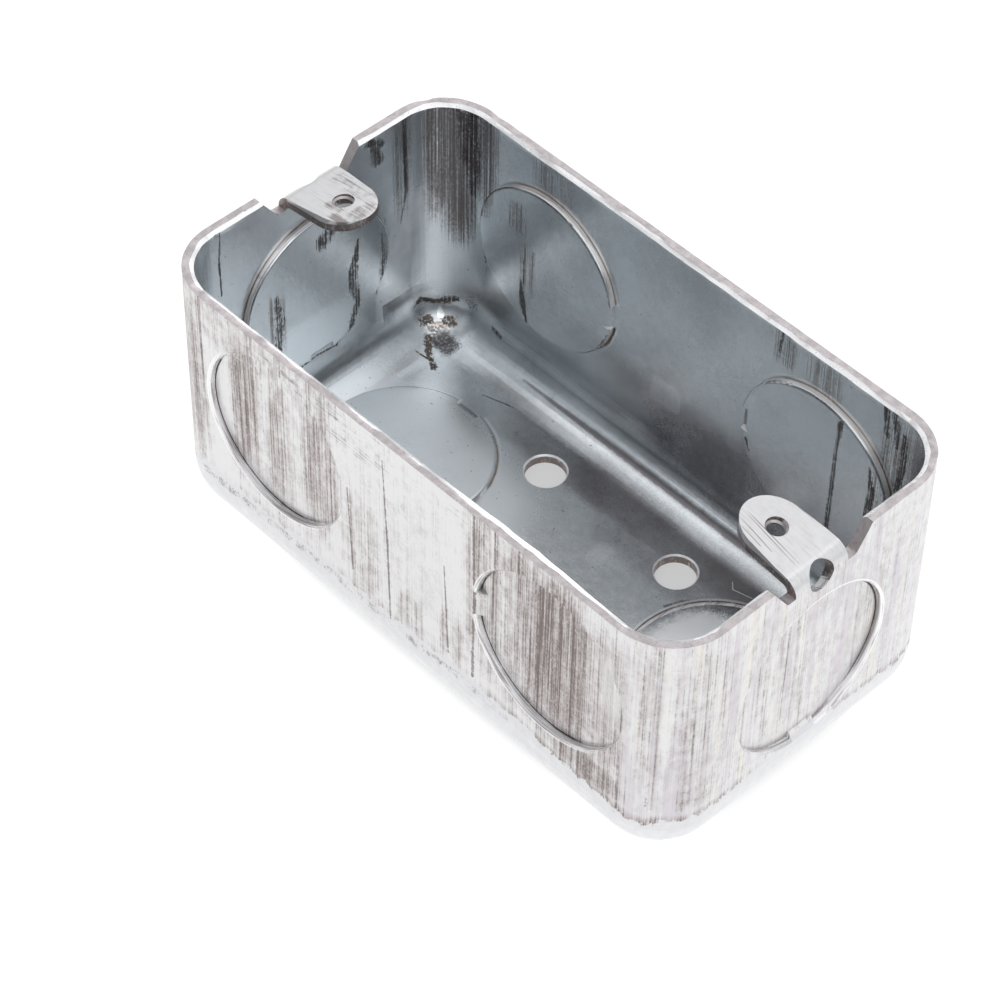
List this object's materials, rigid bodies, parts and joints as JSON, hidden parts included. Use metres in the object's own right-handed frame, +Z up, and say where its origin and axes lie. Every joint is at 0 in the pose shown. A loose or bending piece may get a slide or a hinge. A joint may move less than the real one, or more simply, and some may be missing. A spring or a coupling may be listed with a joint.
{
  "type": "rectangular electrical box",
  "caption": "Open rectangular steel box for wiring, drawn from one sheet, with inward ears for cover screws, round knockouts in walls and floor, and fixing holes in the floor.",
  "frame": {"origin": "middle of the underside, on the plane the floor rests on", "axes": "+X along the long side, +Y across the short side towards the fixing holes, +Z up out of the mouth"},
  "size_m": [0.1, 0.0554, 0.0456],
  "materials": {
    "zinc_steel": "zinc-coated sheet with drawing streaks on the outside and darker smudges inside"
  },
  "bodies": {
    "root": {"box_body": "zinc_steel"}
  },
  "joints": []
}
